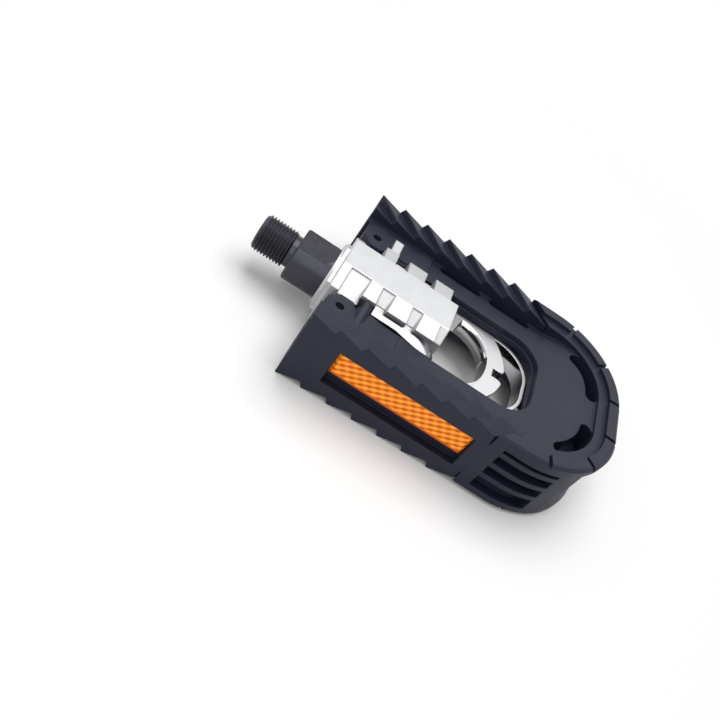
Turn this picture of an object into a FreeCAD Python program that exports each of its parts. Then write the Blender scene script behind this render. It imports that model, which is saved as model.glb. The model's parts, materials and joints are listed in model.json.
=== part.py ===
import FreeCAD, Part
import math
import os

# Folding bicycle pedal. Millimetres. The spindle lies along X and points outboard, Z is up.
# The origin is on the spindle axis, on the shoulder that meets the crank.

# Spindle
THREAD_RADIUS = 7.144          # nine-sixteenths inch crank thread, at its crests
THREAD_LENGTH = 14.5           # crank shoulder to the end of the thread
UNDERCUT_LENGTH = 2.0
UNDERCUT_RADIUS = 6.1
THREAD_CHAMFER = 1.2
SOCKET_FLATS = 6.0             # hexagon socket in the threaded end
SOCKET_DEPTH = 7.0
COLLAR_RADIUS = 10.0
COLLAR_CHAMFER = 0.6
WRENCH_FLATS = 15.0
WRENCH_LENGTH = 10.5           # length of the wrench flats
WRENCH_RUNOUT = 5.0            # length over which each flat runs out to the round
JOURNAL_RADIUS = 6.0
BEARING_SEAT_RADIUS = 5.0
NUT_THREAD_RADIUS = 4.0
SPINDLE_END_STANDOUT = 0.5     # spindle end beyond the lock nut

# Station of the cage and hub along the spindle
CRANK_TO_CAGE = 16.0           # crank shoulder to the inboard end of the cage

# Hub body
HUB_LENGTH = 43.2
HUB_HALF_HEIGHT = 14.5
HUB_HALF_WIDTH = 15.8          # over the lugs
CROWN_HALF_WIDTH = 7.6         # flat strip along the top and bottom
LUG_DROP = 1.4                 # fall of a lug from the crown to its tip
LUG_TIP = 1.7                  # thickness of a lug at its tip
LUG_DRAFT = 0.8                # each end of a lug is longer by this at its root
LUG_START = 11.3               # first lug, from the inboard face
LUG_FIRST_LENGTH = 4.7
LUG_LENGTH = 7.1
LUG_GAP_FIRST = 5.2
LUG_GAP = 4.3
POCKET_DEPTH = 0.8             # pockets between the lugs, below the edge of the crown
FLANGE_LENGTH = 3.4
FLANGE_STEP = 1.3              # flange above the knuckle
KNUCKLE_HALF_HEIGHT = 8.0      # block that holds the hinge bushes
PAD_THICKNESS = 1.6            # six-sided pad round the spindle, inboard
PAD_FLATS = 25.0
PAD_STEP = 1.6
FINGER_REACH = 7.0             # stop finger over one leg of the cage
FINGER_LENGTH = 3.4
FINGER_CLEARANCE = 0.8         # finger above the leg
CHANNEL_CLEARANCE = 0.2        # latch arm to the hub, each side

# Bearings in the hub
RUNNING_CLEARANCE = 0.04       # radial, shaft in bush
FIT_CLEARANCE = 0.02           # radial, pieces seated in one another
AXIAL_CLEARANCE = 0.1
COLLAR_CLEARANCE = 0.4
COLLAR_DEPTH = 0.4             # collar inside the hub face
SEAL_LENGTH = 3.0
SEAL_RADIUS = 9.2
SEAL_LIP_CLEARANCE = 0.1
BUSH_START = 12.0
BUSH_LENGTH = 14.0
BUSH_WALL = 1.6
BEARING_START = 31.0
BEARING_WIDTH = 5.0
BEARING_RADIUS = 9.5
RACE_WALL = 1.4
BALL_RADIUS = 1.35
BALL_COUNT = 9
BALL_CLEARANCE = 0.05
BALL_BANDS = 4                 # flat bands that make up each ball
WASHER_THICKNESS = 1.2
WASHER_RADIUS = 6.8
NUT_FLATS = 12.0
NUT_THICKNESS = 4.0
CAP_SKIRT = 0.9                # wall of the dust cap's skirt
CAP_STANDOUT = 0.6
CAP_SLOT_WIDTH = 2.0
CAP_SLOT_DEPTH = 0.8

# Hinge between hub and cage
HINGE_X = 6.4                  # from the inboard end of the cage
HINGE_PIN_RADIUS = 3.0
HINGE_PIN_LENGTH = 17.6
HINGE_BUSH_WALL = 1.2
HINGE_BUSH_SEAT = 1.0          # hub metal between the seal and each hinge bush
HINGE_FLANGE_RADIUS = 5.4
HINGE_FLANGE_THICKNESS = 0.9
HINGE_SIDE_CLEARANCE = 0.3
SCREW_OFFSET = 5.6             # screw axis from the inner face of the boss
SCREW_RADIUS = 1.6
SCREW_HOLE_CLEARANCE = 0.15
SCREW_HEAD_RADIUS = 4.0
SCREW_HEAD_HEIGHT = 2.4
SCREW_HEAD_CHAMFER = 1.2
SCREW_TIP_DEPTH = 2.6          # tip below the top of the boss
BOSS_RADIUS = 6.4

# Cage
CAGE_LENGTH = 115.0
CAGE_WIDTH = 80.0
CAGE_CORNER = 32.0             # plan radius of the outer corners
FLAT_HALF = 8.7                # half-thickness of the flat web
RAMP_START = 80.0              # the web thickens from here to the end band
RAMP_END = 98.0
RAMP_TOP = 12.0
TREAD_HALF = 15.4              # half-height over the tooth crests
TOOTH_DROP = 2.5
TOOTH_RISER = 1.1              # length of the steep side of a tooth
TOOTH_PITCH = 10.15
TOOTH_COUNT = 7
BAND_WIDTH = 8.8               # toothed bands along the sides and the band round the end
BAND_RUN = 9.6                 # each ridge leads this far outboard across the band
BAND_FALL = 0.8                # and falls by this toward the opening
BAND_BASE = 13.2               # half-height of the end band under its blocks
BLOCK_WIDTH = 5.0              # tread blocks round the outboard end
BLOCK_HEIGHT = 1.7
BLOCK_CHAMFER = 1.0
BLOCK_COUNT = 7
BLOCK_GROOVE = 1.6
WAIST_DEPTH = 3.0              # hollow in the outboard wall between the treads
WAIST_HALF = 11.5
WAIST_FLAT = 1.0               # half-height of the hollow's deepest part
WAIST_REACH = 31.0             # half-width of that hollow
OPENING_HALF = 19.0
OPENING_NARROW_LENGTH = 38.0   # beside the hub
OPENING_FLARE_START = 18.0
OPENING_LENGTH = 81.2
OPENING_CORNER = 11.0
LEDGE_START = 41.5
LEDGE_WIDTH = 0.6              # step round the opening
LEDGE_DEPTH = 2.5
SLOT_WIDTH = 3.1
SLOT_LENGTH = 18.5
SLOT_START = 33.0
SLOT_PITCH = 22.5
SLOT_COUNT = 2
SLOT_DEPTH = 7.0
ARC_SLOT_WIDTH = 5.2
ARC_SLOT_FROM = 4.0            # degrees from the outboard direction
ARC_SLOT_TO = 54.0
CORE_WIDTH = 6.8               # cored hole in each leg end
CORE_HEIGHT = 17.0
CORE_DEPTH = 11.0
CORE_WALL = 2.9                # outer wall beside the core
LEG_STEP = 1.2                 # inner part of a leg end, set back
LEG_PAD_LENGTH = 29.0          # raised pad on the inboard part of each leg
LEG_PAD_HEIGHT = 0.7
LEG_CHAMFER = 5.0              # cut corner of each leg end beside the hub
LEG_CHAMFER_FLOOR = 5.0        # lower edge of that cut, above the hinge bore
BUMP_X = 14.0                  # small rounded bump beside each boss
BUMP_RADIUS = 2.3
HUMP_TOP = 12.4                # round hump on the -Y leg, beside the first lug
HUMP_RUN = 9.0                 # length over which it runs out on the leg
BUMP_REACH = 0.9
BUMP_CLEARANCE = 0.3           # bump to the latch arm
NOTCH_WIDTH = 2.0
LOUVRE_TOP = 10.4
LOUVRE_FIRST = 1.6             # height of the uppermost slot
LOUVRE_GAP = 4.0               # height of the two middle slots
LOUVRE_LAST = 6.0              # height of the lowest slot
LOUVRE_FIN = 2.0
LOUVRE_DEPTH = 4.0
LOUVRE_START = 76.0
LOUVRE_TO = 27.0               # degrees round the corner

# Reflectors
REFLECTOR_LENGTH = 52.0
REFLECTOR_HEIGHT = 11.0
REFLECTOR_THICKNESS = 2.4
REFLECTOR_START = 14.4
REFLECTOR_BEVEL = 1.0
REFLECTOR_INSET = 0.9          # face behind the wall of the cage
RECESS_MARGIN = 0.4
RECESS_BELOW = 4.2             # open strip under the reflector
REFLECTOR_TOP = 7.3            # top edge above the spindle axis

# Latch yoke
YOKE_HALF_THICKNESS = 3.7
YOKE_CLEARANCE = 0.4           # yoke to the sides of the opening
YOKE_END_GAP = 0.5             # rim to the end of the opening
YOKE_CORNER = 15.0
RIM_WIDTH = 1.3
SIDE_BAR = 1.7                 # yoke beside its window
WINDOW_BACK = 17.2             # end of the opening back to the outer edge of the D-shaped window
WINDOW_CORNER = 9.0
WINDOW_END_RADIUS = 27.0
BRIDGE_BACK = 9.6              # end of the opening back to the outer edge of the finger plate
BRIDGE_EDGE_RADIUS = 23.5
NOTCH_MOUTH_HALF = 4.4
NOTCH_THROAT_HALF = 2.1
NOTCH_DEPTH = 4.7
NOTCH_SHOULDER = 2.4
ARM_INBOARD_END = 17.0
ARM_WIDTH = 4.0
ARM_STANDOUT = 0.4             # arm beyond the tips of the lugs
ARM_HALF_HEIGHT = 9.8
ARM_BEVEL = 1.4                # along the arm's outer edges
ARM_FLARE_START = 27.0         # the arm widens outward from here
ARM_FLARE_END = 37.0
ARM_FLARE = 1.2
ARM_BEND_START = 33.0          # the arm bends down to the plate from here
ARM_BEND_END = 44.0
HOOK_LENGTH = 2.0
HOOK_REACH = 1.6
HOOK_CLEARANCE = 0.2
LATCH_TRAVEL = 4.5
TONGUE_HALF_THICKNESS = 1.8
TONGUE_INNER = 7.5
TONGUE_OUTER = 16.4
TONGUE_ENGAGEMENT = 3.5
GROOVE_CLEARANCE = 0.4

# Latch springs
SPRING_RADIUS = 1.2            # to the middle of the wire
SPRING_WIRE = 0.4
SPRING_TURNS = 7
SPRING_STEPS = 10              # straight lengths in each turn
SPRING_HOLE_CLEARANCE = 0.2
SPRING_HOLE_DEPTH = 8.0

# Positions that follow from the sizes above
CAGE_X0 = CRANK_TO_CAGE
CAGE_X1 = CAGE_X0 + CAGE_LENGTH
CAGE_HALF = CAGE_WIDTH / 2
HINGE_CENTRE = CAGE_X0 + HINGE_X
HUB_X1 = CAGE_X0 + HUB_LENGTH
CORNER_X = CAGE_X1 - CAGE_CORNER
CORNER_Y = CAGE_HALF - CAGE_CORNER
OPENING_X1 = CAGE_X0 + OPENING_LENGTH
TREAD_START = CAGE_X0 + TOOTH_COUNT * TOOTH_PITCH
BOSS_FACE = HUB_HALF_WIDTH + HINGE_FLANGE_THICKNESS + HINGE_SIDE_CLEARANCE
SCREW_Y = BOSS_FACE + SCREW_OFFSET
LEG_HALF = FLAT_HALF + LEG_PAD_HEIGHT
SHAFT_BORE = JOURNAL_RADIUS + BUSH_WALL
BEARING_X0 = CAGE_X0 + BEARING_START
BEARING_X1 = BEARING_X0 + BEARING_WIDTH
WASHER_X1 = BEARING_X1 + WASHER_THICKNESS
NUT_X1 = WASHER_X1 + NUT_THICKNESS
SPINDLE_X1 = NUT_X1 + SPINDLE_END_STANDOUT
SEAL_X0 = CAGE_X0 + COLLAR_DEPTH + AXIAL_CLEARANCE
BALL_CIRCLE = (BEARING_SEAT_RADIUS + BEARING_RADIUS) / 2
ARM_OUTER = HUB_HALF_WIDTH + ARM_STANDOUT
ARM_INNER = ARM_OUTER - ARM_WIDTH
ARM_X0 = CAGE_X0 + ARM_INBOARD_END
OPENING_NARROW = ARM_OUTER + BUMP_CLEARANCE + BUMP_REACH
COLUMN_HALF_WIDTH = ARM_INNER - CHANNEL_CLEARANCE
CHANNEL_HALF = ARM_HALF_HEIGHT + CHANNEL_CLEARANCE
HOOK_ROOM = YOKE_HALF_THICKNESS + CHANNEL_CLEARANCE
HINGE_BUSH_DEPTH = HUB_HALF_WIDTH - SEAL_RADIUS - HINGE_BUSH_SEAT
YOKE_HALF = OPENING_HALF - YOKE_CLEARANCE
YOKE_X0 = CAGE_X0 + OPENING_NARROW_LENGTH + LATCH_TRAVEL + YOKE_CLEARANCE
RIM_X1 = OPENING_X1 - YOKE_END_GAP
RIM_CENTRE = RIM_X1 - YOKE_CORNER
WINDOW_X1 = OPENING_X1 - WINDOW_BACK
BRIDGE_X1 = OPENING_X1 - BRIDGE_BACK
SPRING_Y = (ARM_INNER + ARM_OUTER) / 2
SPRING_X0 = CAGE_X0 + LUG_START
SPRING_X1 = ARM_X0 + SPRING_HOLE_DEPTH
SPRING_HOLE_RADIUS = SPRING_RADIUS + SPRING_WIRE / 2 + SPRING_HOLE_CLEARANCE
FINGER_X1 = CAGE_X0 + LUG_START + LUG_FIRST_LENGTH
REFLECTOR_X0 = CAGE_X0 + REFLECTOR_START
REFLECTOR_FACE = CAGE_HALF - REFLECTOR_INSET
REFLECTOR_BACK = REFLECTOR_FACE - REFLECTOR_THICKNESS

FAR = 400.0                    # longer than the whole pedal, for cuts that run right through
X, Y, Z = FreeCAD.Vector(1, 0, 0), FreeCAD.Vector(0, 1, 0), FreeCAD.Vector(0, 0, 1)
SIDES = (1, -1)


def point(x, y, z=0.0):
    return FreeCAD.Vector(x, y, z)


def box(x0, x1, y0, y1, z0, z1):
    """Box between two values on each axis, in either order."""
    corner = point(min(x0, x1), min(y0, y1), min(z0, z1))
    return Part.makeBox(abs(x1 - x0), abs(y1 - y0), abs(z1 - z0), corner)


def rod(radius, start, direction, length):
    return Part.makeCylinder(radius, length, start, direction)


def tube(outer, inner, x0, x1):
    """Ring about the spindle axis."""
    ring = rod(outer, point(x0, 0), X, x1 - x0)
    return ring.cut(rod(inner, point(x0, 0), X, x1 - x0))


def polygon(points):
    return Part.Face(Part.makePolygon(list(points) + [points[0]]))


def hexagon(flats, x, turn=0.0):
    """Six-sided face across the spindle axis."""
    radius = flats / math.sqrt(3)
    angles = [math.radians(60 * step + turn) for step in range(6)]
    return polygon([point(x, radius * math.cos(a), radius * math.sin(a)) for a in angles])


def revolve(profile):
    """Solid of revolution about X from (x, radius) pairs."""
    return polygon([point(x, 0, r) for x, r in profile]).revolve(point(0, 0), X, 360)


def plan(x0, x1, half, corner):
    """Outline seen from above: square at x0, rounded corners at x1."""
    bend = corner * math.sqrt(0.5)
    inner_x = x1 - corner
    inner_y = half - corner
    low = Part.Arc(point(inner_x, -half), point(inner_x + bend, -inner_y - bend), point(x1, -inner_y))
    high = Part.Arc(point(x1, inner_y), point(inner_x + bend, inner_y + bend), point(inner_x, half))
    edges = [
        Part.LineSegment(point(x0, -half), point(inner_x, -half)).toShape(),
        low.toShape(),
        Part.LineSegment(point(x1, -inner_y), point(x1, inner_y)).toShape(),
        high.toShape(),
        Part.LineSegment(point(inner_x, half), point(x0, half)).toShape(),
        Part.LineSegment(point(x0, half), point(x0, -half)).toShape(),
    ]
    return Part.Wire(edges)


def cage_plan(inset):
    return plan(CAGE_X0, CAGE_X1 - inset, CAGE_HALF - inset, CAGE_CORNER - inset)


def slab(outline, z0, z1):
    face = Part.Face(outline)
    face.translate(point(0, 0, z0))
    return face.extrude(point(0, 0, z1 - z0))


def taper(inset0, z0, inset1, z1):
    """Slab whose outline draws in from one height to another."""
    low = cage_plan(inset0)
    low.translate(point(0, 0, z0))
    high = cage_plan(inset1)
    high.translate(point(0, 0, z1))
    return Part.makeLoft([low, high], True, True)


def mirrored(shape, normal):
    return shape.mirror(point(0, 0), normal)


def both(shape, normal):
    return [shape, mirrored(shape, normal)]


def four(shape):
    """The shape and its mirror images across the spindle's two middle planes."""
    return [image for half in both(shape, Y) for image in both(half, Z)]


def turned(shape, degrees, centre):
    copy = shape.copy()
    copy.rotate(centre, Z, degrees)
    return copy


def fuse(shapes):
    joined = shapes[0].multiFuse(shapes[1:]) if len(shapes) > 1 else shapes[0]
    return joined.removeSplitter()


# Spindle with its crank thread, wrench flats and bearing seats

def wrench_cut(side):
    """Flat on the collar that runs out to the round outboard."""
    flat = WRENCH_FLATS / 2
    top = COLLAR_RADIUS + COLLAR_CHAMFER
    profile = [
        point(-COLLAR_CHAMFER, 0, side * flat),
        point(WRENCH_LENGTH, 0, side * flat),
        point(WRENCH_LENGTH + WRENCH_RUNOUT, 0, side * top),
        point(-COLLAR_CHAMFER, 0, side * top),
    ]
    face = polygon(profile)
    face.translate(point(0, -2 * COLLAR_RADIUS, 0))
    return face.extrude(point(0, 4 * COLLAR_RADIUS, 0))


def make_spindle():
    collar_end = CAGE_X0 + COLLAR_DEPTH
    body = revolve([
        (-THREAD_LENGTH, 0),
        (-THREAD_LENGTH, THREAD_RADIUS - THREAD_CHAMFER),
        (-THREAD_LENGTH + THREAD_CHAMFER, THREAD_RADIUS),
        (-UNDERCUT_LENGTH, THREAD_RADIUS),
        (-UNDERCUT_LENGTH, UNDERCUT_RADIUS),
        (0, UNDERCUT_RADIUS),
        (0, COLLAR_RADIUS - COLLAR_CHAMFER),
        (COLLAR_CHAMFER, COLLAR_RADIUS),
        (collar_end, COLLAR_RADIUS),
        (collar_end, JOURNAL_RADIUS),
        (BEARING_X0, JOURNAL_RADIUS),
        (BEARING_X0, BEARING_SEAT_RADIUS),
        (BEARING_X1, BEARING_SEAT_RADIUS),
        (BEARING_X1, NUT_THREAD_RADIUS),
        (SPINDLE_X1, NUT_THREAD_RADIUS),
        (SPINDLE_X1, 0),
    ])
    socket = hexagon(SOCKET_FLATS, -THREAD_LENGTH).extrude(point(SOCKET_DEPTH, 0, 0))
    return body.cut([wrench_cut(side) for side in SIDES] + [socket])


# Pieces that carry the hub on the spindle

def make_lip_seal():
    return tube(SEAL_RADIUS, JOURNAL_RADIUS + SEAL_LIP_CLEARANCE, SEAL_X0, SEAL_X0 + SEAL_LENGTH)


def make_inner_bush():
    start = CAGE_X0 + BUSH_START
    return tube(SHAFT_BORE, JOURNAL_RADIUS + RUNNING_CLEARANCE, start, start + BUSH_LENGTH)


def ball_track():
    """Ring groove that leaves room for the balls."""
    middle = BEARING_X0 + BEARING_WIDTH / 2
    reach = BALL_RADIUS + BALL_CLEARANCE
    return tube(BALL_CIRCLE + reach, BALL_CIRCLE - reach, middle - reach, middle + reach)


def make_inner_race():
    inner = BEARING_SEAT_RADIUS + FIT_CLEARANCE
    ring = tube(BEARING_SEAT_RADIUS + RACE_WALL, inner, BEARING_X0, BEARING_X1)
    return ring.cut(ball_track())


def make_outer_race():
    ring = tube(BEARING_RADIUS, BEARING_RADIUS - RACE_WALL, BEARING_X0, BEARING_X1)
    return ring.cut(ball_track())


def make_bearing_balls():
    centre_x = BEARING_X0 + BEARING_WIDTH / 2
    angles = [math.pi * step / BALL_BANDS for step in range(BALL_BANDS + 1)]
    ball = revolve([(-BALL_RADIUS * math.cos(a), BALL_RADIUS * math.sin(a)) for a in angles])
    balls = []
    for step in range(BALL_COUNT):
        angle = 2 * math.pi * step / BALL_COUNT
        copy = ball.copy()
        copy.translate(point(centre_x, BALL_CIRCLE * math.cos(angle), BALL_CIRCLE * math.sin(angle)))
        balls.append(copy)
    return Part.makeCompound(balls)


def make_lock_washer():
    return tube(WASHER_RADIUS, NUT_THREAD_RADIUS + FIT_CLEARANCE, BEARING_X1, WASHER_X1)


def make_lock_nut():
    nut = hexagon(NUT_FLATS, WASHER_X1).extrude(point(NUT_THICKNESS, 0, 0))
    return nut.cut(rod(NUT_THREAD_RADIUS + FIT_CLEARANCE, point(WASHER_X1, 0), X, NUT_THICKNESS))


def make_dust_cap():
    """Plug in the outboard end of the hub, with a skirt that holds the bearing and a coin slot."""
    outer = BEARING_RADIUS
    disc_x0 = SPINDLE_X1 + AXIAL_CLEARANCE
    disc_x1 = HUB_X1 + CAP_STANDOUT
    cap = tube(outer, outer - CAP_SKIRT, BEARING_X1 + AXIAL_CLEARANCE, disc_x1)
    disc = rod(outer, point(disc_x0, 0), X, disc_x1 - disc_x0)
    half = CAP_SLOT_WIDTH / 2
    slot = box(disc_x1 - CAP_SLOT_DEPTH, disc_x1, -outer, outer, -half, half)
    return fuse([cap, disc]).cut(slot)


# Hub casting

def hub_run(x0, x1, side, height, step):
    """Length of the column: crown strip, a step at its edge, sloped shoulders and upright sides."""
    edge = (CROWN_HALF_WIDTH, HUB_HALF_HEIGHT)
    foot = [(CROWN_HALF_WIDTH, HUB_HALF_HEIGHT - step)] if step > 0 else []
    corners = [edge] + foot + [(side, height)]
    corners = corners + [(y, -z) for y, z in reversed(corners)]
    ring = corners + [(-y, z) for y, z in reversed(corners)]
    section = polygon([point(CAGE_X0 + x0, y, z) for y, z in ring])
    return section.extrude(point(x1 - x0, 0, 0))


def lug_starts():
    second = LUG_START + LUG_FIRST_LENGTH + LUG_GAP_FIRST
    third = second + LUG_LENGTH + LUG_GAP
    return [(LUG_START, LUG_FIRST_LENGTH), (second, LUG_LENGTH), (third, LUG_LENGTH)]


def hub_lug(x0, length):
    """One lug of the four at a station: a tab from the crown out over the latch arm."""
    tip = HUB_HALF_HEIGHT - LUG_DROP
    profile = [
        (CROWN_HALF_WIDTH, HUB_HALF_HEIGHT),
        (HUB_HALF_WIDTH, tip),
        (HUB_HALF_WIDTH, tip - LUG_TIP),
        (COLUMN_HALF_WIDTH, CHANNEL_HALF),
        (CROWN_HALF_WIDTH, CHANNEL_HALF),
    ]
    start = CAGE_X0 + x0
    end = start + length
    face = polygon([point(start - LUG_DRAFT, y, z) for y, z in profile])
    tab = face.extrude(point(length + 2 * LUG_DRAFT, 0, 0))
    ends = polygon([
        point(start - LUG_DRAFT, 0, CHANNEL_HALF),
        point(start, 0, HUB_HALF_HEIGHT),
        point(end, 0, HUB_HALF_HEIGHT),
        point(end + LUG_DRAFT, 0, CHANNEL_HALF),
    ])
    return tab.common(ends.extrude(point(0, HUB_HALF_WIDTH, 0)))


def hub_finger():
    """Stop finger on the first lug, over the top of the leg on the +Y side."""
    tip = HUB_HALF_HEIGHT - LUG_DROP
    under = LEG_HALF + FINGER_CLEARANCE
    reach = HUB_HALF_WIDTH + FINGER_REACH
    profile = [(CROWN_HALF_WIDTH, under), (reach, under), (reach, tip), (HUB_HALF_WIDTH, tip),
               (CROWN_HALF_WIDTH, HUB_HALF_HEIGHT)]
    face = polygon([point(FINGER_X1 - FINGER_LENGTH, y, z) for y, z in profile])
    return face.extrude(point(FINGER_LENGTH, 0, 0))


def hub_bores():
    recess = COLLAR_RADIUS + COLLAR_CLEARANCE
    seal_x1 = SEAL_X0 + SEAL_LENGTH
    bores = [
        rod(recess, point(CAGE_X0 - FAR, 0), X, FAR + COLLAR_DEPTH + AXIAL_CLEARANCE),
        rod(SEAL_RADIUS + FIT_CLEARANCE, point(CAGE_X0, 0), X, seal_x1 - CAGE_X0),
        rod(SHAFT_BORE + FIT_CLEARANCE, point(CAGE_X0, 0), X, HUB_LENGTH),
        rod(BEARING_RADIUS + FIT_CLEARANCE, point(BEARING_X0, 0), X, FAR),
    ]
    bush = HINGE_PIN_RADIUS + HINGE_BUSH_WALL + FIT_CLEARANCE
    for side in SIDES:
        start = point(HINGE_CENTRE, side * (HUB_HALF_WIDTH - HINGE_BUSH_DEPTH))
        bores.append(rod(bush, start, Y * side, HINGE_BUSH_DEPTH))
    return bores


def hook_recesses():
    """Recesses in the sides of the column for the hooks of the latch arms."""
    x1 = ARM_X0 + HOOK_LENGTH + HOOK_CLEARANCE
    x0 = ARM_X0 - LATCH_TRAVEL - HOOK_CLEARANCE
    depth = ARM_INNER - HOOK_REACH - HOOK_CLEARANCE
    recess = box(x0, x1, depth, HUB_HALF_WIDTH, -HOOK_ROOM, HOOK_ROOM)
    return both(recess, Y)


def make_hub_body():
    last_x0, last_length = lug_starts()[-1]
    flange_side = KNUCKLE_HALF_HEIGHT + FLANGE_STEP
    body = [
        hub_run(0, FLANGE_LENGTH, HUB_HALF_WIDTH, flange_side, 0),
        hub_run(0, LUG_START, HUB_HALF_WIDTH, KNUCKLE_HALF_HEIGHT, POCKET_DEPTH),
        hub_run(0, HUB_LENGTH, COLUMN_HALF_WIDTH, CHANNEL_HALF, POCKET_DEPTH),
        hub_run(last_x0 + last_length, HUB_LENGTH, COLUMN_HALF_WIDTH, CHANNEL_HALF, 0),
    ]
    for x0, length in lug_starts():
        body += four(hub_lug(x0, length))
    body.append(hub_finger())
    pad = hexagon(PAD_FLATS, CAGE_X0 - PAD_THICKNESS, 30).extrude(point(PAD_THICKNESS, 0, 0))
    step = rod(PAD_FLATS / 2, point(CAGE_X0 - PAD_THICKNESS - PAD_STEP / 2, 0), X, PAD_STEP)
    hub = fuse(body + [pad, step])
    return hub.cut(hub_bores() + hook_recesses()).removeSplitter()


# Hinge pieces, made for the +Y side and mirrored

def make_hinge_bush():
    inner = HINGE_PIN_RADIUS + RUNNING_CLEARANCE
    start = point(HINGE_CENTRE, HUB_HALF_WIDTH - HINGE_BUSH_DEPTH)
    sleeve = rod(HINGE_PIN_RADIUS + HINGE_BUSH_WALL, start, Y, HINGE_BUSH_DEPTH)
    flange = rod(HINGE_FLANGE_RADIUS, point(HINGE_CENTRE, HUB_HALF_WIDTH), Y, HINGE_FLANGE_THICKNESS)
    return fuse([sleeve, flange]).cut(rod(inner, start, Y, FAR))


def hinge_pin_start():
    return HUB_HALF_WIDTH - HINGE_BUSH_DEPTH + AXIAL_CLEARANCE


def make_hinge_pin():
    pin = rod(HINGE_PIN_RADIUS, point(HINGE_CENTRE, hinge_pin_start()), Y, HINGE_PIN_LENGTH)
    hole = rod(SCREW_RADIUS + SCREW_HOLE_CLEARANCE, point(HINGE_CENTRE, SCREW_Y, -FAR / 2), Z, FAR)
    return pin.cut(hole)


def make_hinge_screw():
    """Pan-head screw from below that passes through the hinge pin."""
    seat = point(HINGE_CENTRE, SCREW_Y, -LEG_HALF)
    shank = rod(SCREW_RADIUS, seat, Z, 2 * LEG_HALF - SCREW_TIP_DEPTH)
    straight = SCREW_HEAD_HEIGHT - SCREW_HEAD_CHAMFER
    head = rod(SCREW_HEAD_RADIUS, seat - Z * straight, Z, straight)
    end = seat - Z * SCREW_HEAD_HEIGHT
    end_radius = SCREW_HEAD_RADIUS - SCREW_HEAD_CHAMFER
    crown = Part.makeCone(end_radius, SCREW_HEAD_RADIUS, SCREW_HEAD_CHAMFER, end, Z)
    return fuse([shank, head, crown])


# Cage moulding

def tooth_band(side, face):
    """Sawtooth strip along one long side; its ridges slant across the band."""
    valley = TREAD_HALF - TOOTH_DROP
    base = FLAT_HALF - TOOTH_DROP
    start = CAGE_X0 - TOOTH_PITCH
    outline = [(start, base)]
    for step in range(TOOTH_COUNT + 1):
        x = start + step * TOOTH_PITCH
        outline += [(x, TREAD_HALF), (x + TOOTH_PITCH - TOOTH_RISER, valley)]
    outline.append((TREAD_START, base))
    edge = polygon([point(x, side * CAGE_HALF, face * z) for x, z in outline])
    band = edge.extrude(point(BAND_RUN, -side * BAND_WIDTH, -face * BAND_FALL))
    return band.cut(box(CAGE_X0 - FAR, CAGE_X0, -FAR, FAR, -FAR, FAR))


def tooth_zone():
    """Both long sides, up to the slanted start of the end tread."""
    inner = CAGE_HALF - BAND_WIDTH - 1
    slant = BAND_RUN / BAND_WIDTH
    zone = polygon([
        point(CAGE_X0 - 1, CAGE_HALF + 1, -FAR / 2),
        point(TREAD_START - slant, CAGE_HALF + 1, -FAR / 2),
        point(TREAD_START + slant * (CAGE_HALF - inner), inner, -FAR / 2),
        point(CAGE_X0 - 1, inner, -FAR / 2),
    ]).extrude(point(0, 0, FAR))
    return both(zone, Y)


def outline_station(distance):
    """Point and outward angle on the +Y outline, by distance from the start of the end tread."""
    straight = CORNER_X - TREAD_START
    if distance < straight:
        return point(TREAD_START + distance, CAGE_HALF), 90.0
    turn = (distance - straight) / CAGE_CORNER
    if turn < math.pi / 2:
        angle = math.pi / 2 - turn
        spot = point(CORNER_X + CAGE_CORNER * math.cos(angle), CORNER_Y + CAGE_CORNER * math.sin(angle))
        return spot, math.degrees(angle)
    return point(CAGE_X1, CORNER_Y - CAGE_CORNER * (turn - math.pi / 2)), 0.0


def tread_grooves():
    """Radial cuts between the tread blocks."""
    half_length = CORNER_X - TREAD_START + CAGE_CORNER * math.pi / 2 + CORNER_Y
    pitch = 2 * half_length / BLOCK_COUNT
    grooves = []
    for step in range(BLOCK_COUNT // 2):
        spot, angle = outline_station((step + 1) * pitch)
        cut = box(-BLOCK_WIDTH - 1, 1, -BLOCK_GROOVE / 2, BLOCK_GROOVE / 2, BAND_BASE, TREAD_HALF + 1)
        cut.translate(spot)
        grooves += both(turned(cut, angle, spot), Y)
    return grooves


def tread_blocks():
    """Row of chamfered blocks round the outboard end, on the top face."""
    top = BAND_BASE + BLOCK_HEIGHT
    shoulder = top - BLOCK_CHAMFER
    ring = fuse([slab(cage_plan(0), BAND_BASE - 1, shoulder), taper(0, shoulder, BLOCK_CHAMFER, top)])
    inner = slab(cage_plan(BLOCK_WIDTH), BAND_BASE - 2, top + 1)
    return ring.cut([inner] + tooth_zone()).cut(tread_grooves())


def long_slot(x0, face):
    """Rounded pocket beside the toothed band."""
    half = SLOT_WIDTH / 2
    y = CAGE_HALF - BAND_WIDTH - half
    z0 = face * (FLAT_HALF - SLOT_DEPTH)
    z1 = face * BAND_BASE
    low = min(z0, z1)
    height = abs(z1 - z0)
    bar = box(x0 + half, x0 + SLOT_LENGTH - half, y - half, y + half, z0, z1)
    ends = [rod(half, point(x, y, low), Z, height) for x in (x0 + half, x0 + SLOT_LENGTH - half)]
    return fuse([bar] + ends)


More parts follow.
